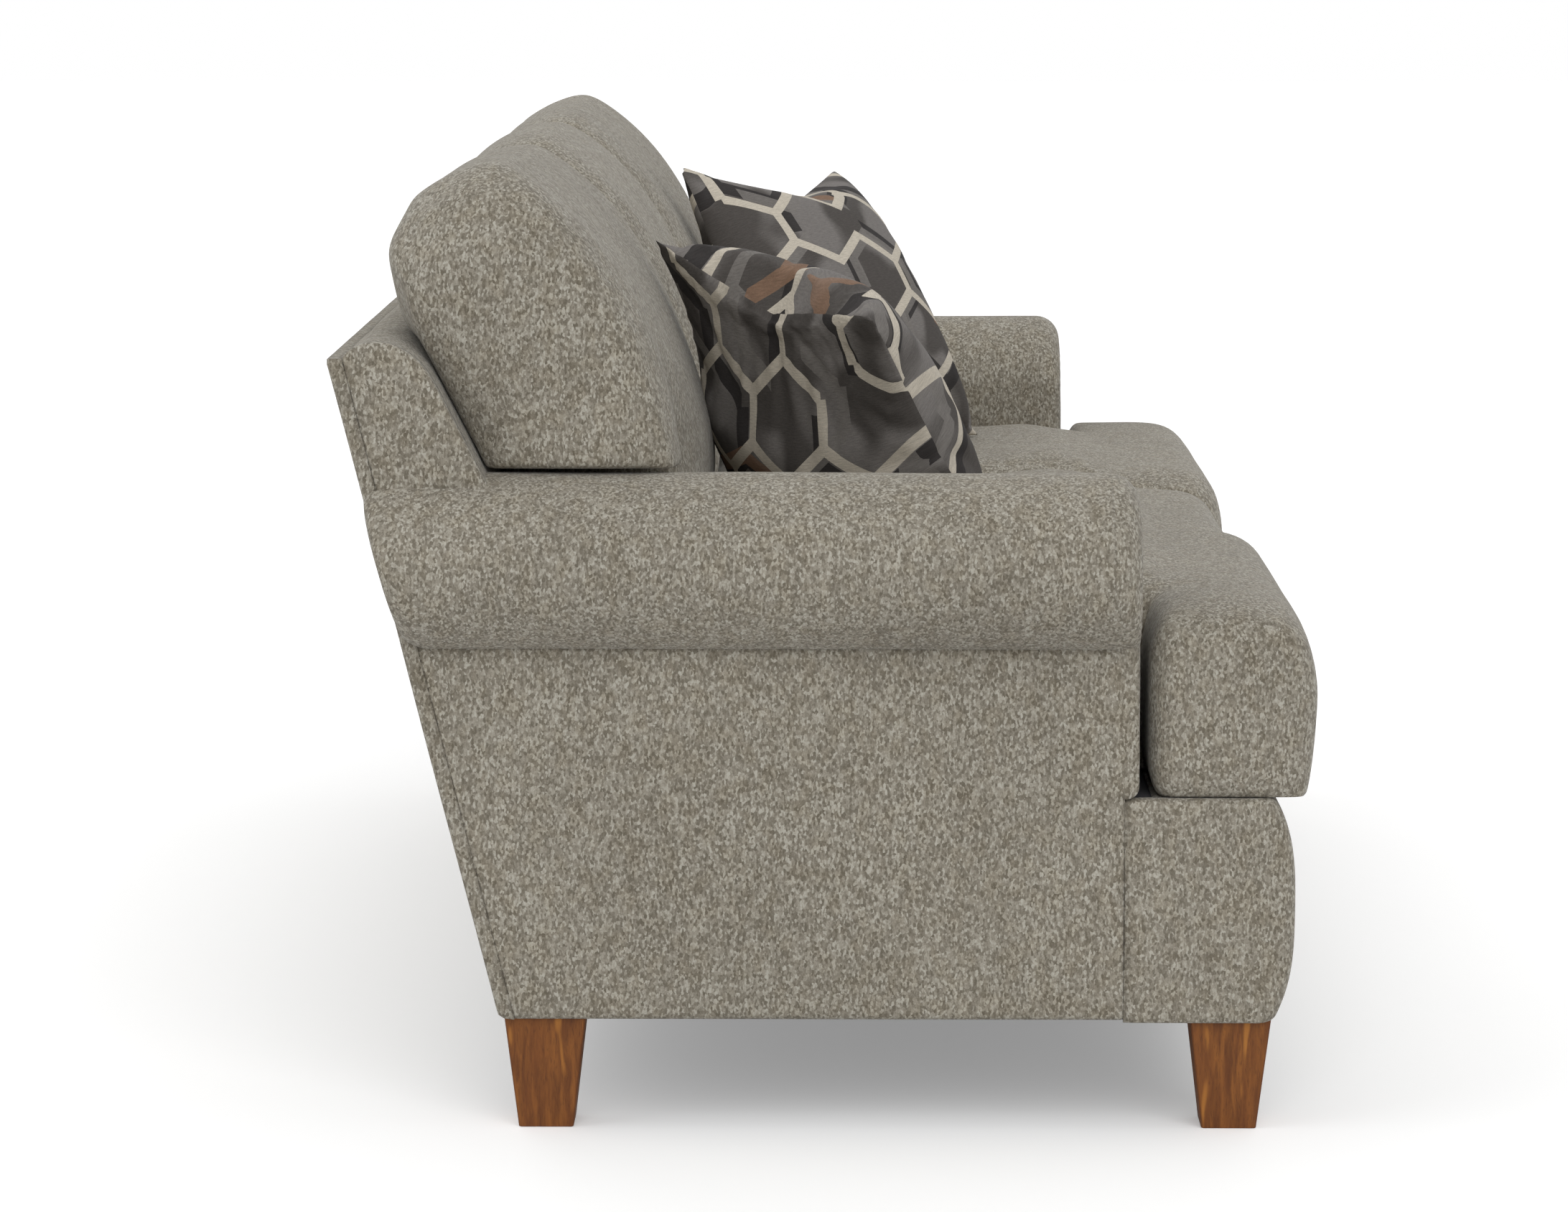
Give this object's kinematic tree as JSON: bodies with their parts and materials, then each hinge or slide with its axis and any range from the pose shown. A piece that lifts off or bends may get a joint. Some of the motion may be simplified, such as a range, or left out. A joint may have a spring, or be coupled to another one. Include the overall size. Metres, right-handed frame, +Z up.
{
  "type": "roll arm sofa",
  "caption": "Roll arm sofa with T-shaped end seat cushions, domed loose back cushions, a throw pillow in each corner, a bowed front border and tapered wood legs.",
  "frame": {"origin": "on the floor, in the middle of the sofa's bounding box", "axes": "+Z up, -Y the front that a person sits facing, +X to the right in a view of the front; left names the -X side"},
  "size_m": [2.2398, 0.9686, 0.9505],
  "materials": {
    "cover_fabric": "grey-taupe heathered chenille, matt",
    "pillow_print": "charcoal weave with a cream lattice print and rust accents, matt",
    "foam": "open cell polyurethane foam",
    "leg_wood": "warm brown stain, satin lacquer",
    "frame_wood": "bare kiln dried hardwood",
    "lining": "black non woven lining cloth",
    "webbing": "jute webbing",
    "spring_steel": "oil tempered wire",
    "bolt_steel": "zinc plated"
  },
  "bodies": {
    "sofa_frame": {"leg_front_left": "leg_wood", "leg_front_right": "leg_wood", "leg_rear_left": "leg_wood", "leg_rear_right": "leg_wood", "hanger_bolt_front_left": "bolt_steel", "hanger_bolt_front_right": "bolt_steel", "hanger_bolt_rear_left": "bolt_steel", "hanger_bolt_rear_right": "bolt_steel", "corner_block_front_left": "frame_wood", "corner_block_front_right": "frame_wood", "corner_block_rear_left": "frame_wood", "corner_block_rear_right": "frame_wood", "front_rail": "frame_wood", "rear_rail": "frame_wood", "back_top_rail": "frame_wood", "back_lower_rail": "frame_wood", "side_rail_left": "frame_wood", "side_rail_right": "frame_wood", "seat_stretcher_left": "frame_wood", "seat_stretcher_right": "frame_wood", "arm_front_post_left": "frame_wood", "arm_front_post_right": "frame_wood", "arm_top_board_left": "frame_wood", "arm_top_board_right": "frame_wood", "back_post_left": "frame_wood", "back_post_right": "frame_wood", "seat_spring_1": "spring_steel", "seat_spring_2": "spring_steel", "seat_spring_3": "spring_steel", "seat_spring_4": "spring_steel", "seat_spring_5": "spring_steel", "seat_spring_6": "spring_steel", "seat_spring_7": "spring_steel", "seat_spring_8": "spring_steel", "seat_spring_9": "spring_steel", "back_webbing": "webbing", "seat_deck": "lining", "dust_cover": "lining", "front_border": "cover_fabric", "inside_back_pad": "cover_fabric", "outside_back_panel": "cover_fabric", "outer_arm_panel_left": "cover_fabric", "outer_arm_panel_right": "cover_fabric", "arm_facing_left": "cover_fabric", "arm_facing_right": "cover_fabric", "inside_arm_left": "cover_fabric", "inside_arm_right": "cover_fabric", "back_side_panel_left": "cover_fabric", "back_side_panel_right": "cover_fabric"},
    "seat_cushion_left_body": {"seat_cushion_cover_left": "cover_fabric", "seat_cushion_core_left": "foam"},
    "back_cushion_left_body": {"back_cushion_left": "cover_fabric"},
    "seat_cushion_middle_body": {"seat_cushion_cover_middle": "cover_fabric", "seat_cushion_core_middle": "foam"},
    "back_cushion_middle_body": {"back_cushion_middle": "cover_fabric"},
    "seat_cushion_right_body": {"seat_cushion_cover_right": "cover_fabric", "seat_cushion_core_right": "foam"},
    "back_cushion_right_body": {"back_cushion_right": "cover_fabric"},
    "throw_pillow_left_body": {"throw_pillow_left": "pillow_print"},
    "throw_pillow_right_body": {"throw_pillow_right": "pillow_print"}
  },
  "joints": [
    {"name": "seat_cushion_left_out", "type": "slide", "parent": "sofa_frame", "child": "seat_cushion_left_body", "axis": [0, -1, 0], "range_m": [0, 0.7]},
    {"name": "back_cushion_left_off", "type": "slide", "parent": "sofa_frame", "child": "back_cushion_left_body", "axis": [0, 0.454, 0.891], "range_m": [0, 0.5]},
    {"name": "seat_cushion_middle_out", "type": "slide", "parent": "sofa_frame", "child": "seat_cushion_middle_body", "axis": [0, -1, 0], "range_m": [0, 0.7]},
    {"name": "back_cushion_middle_off", "type": "slide", "parent": "sofa_frame", "child": "back_cushion_middle_body", "axis": [0, 0.454, 0.891], "range_m": [0, 0.5]},
    {"name": "seat_cushion_right_out", "type": "slide", "parent": "sofa_frame", "child": "seat_cushion_right_body", "axis": [0, -1, 0], "range_m": [0, 0.7]},
    {"name": "back_cushion_right_off", "type": "slide", "parent": "sofa_frame", "child": "back_cushion_right_body", "axis": [0, 0.454, 0.891], "range_m": [0, 0.5]},
    {"name": "throw_pillow_left_off", "type": "slide", "parent": "sofa_frame", "child": "throw_pillow_left_body", "axis": [0, 0, 1], "range_m": [0, 0.48]},
    {"name": "throw_pillow_right_off", "type": "slide", "parent": "sofa_frame", "child": "throw_pillow_right_body", "axis": [0, 0, 1], "range_m": [0, 0.48]}
  ]
}
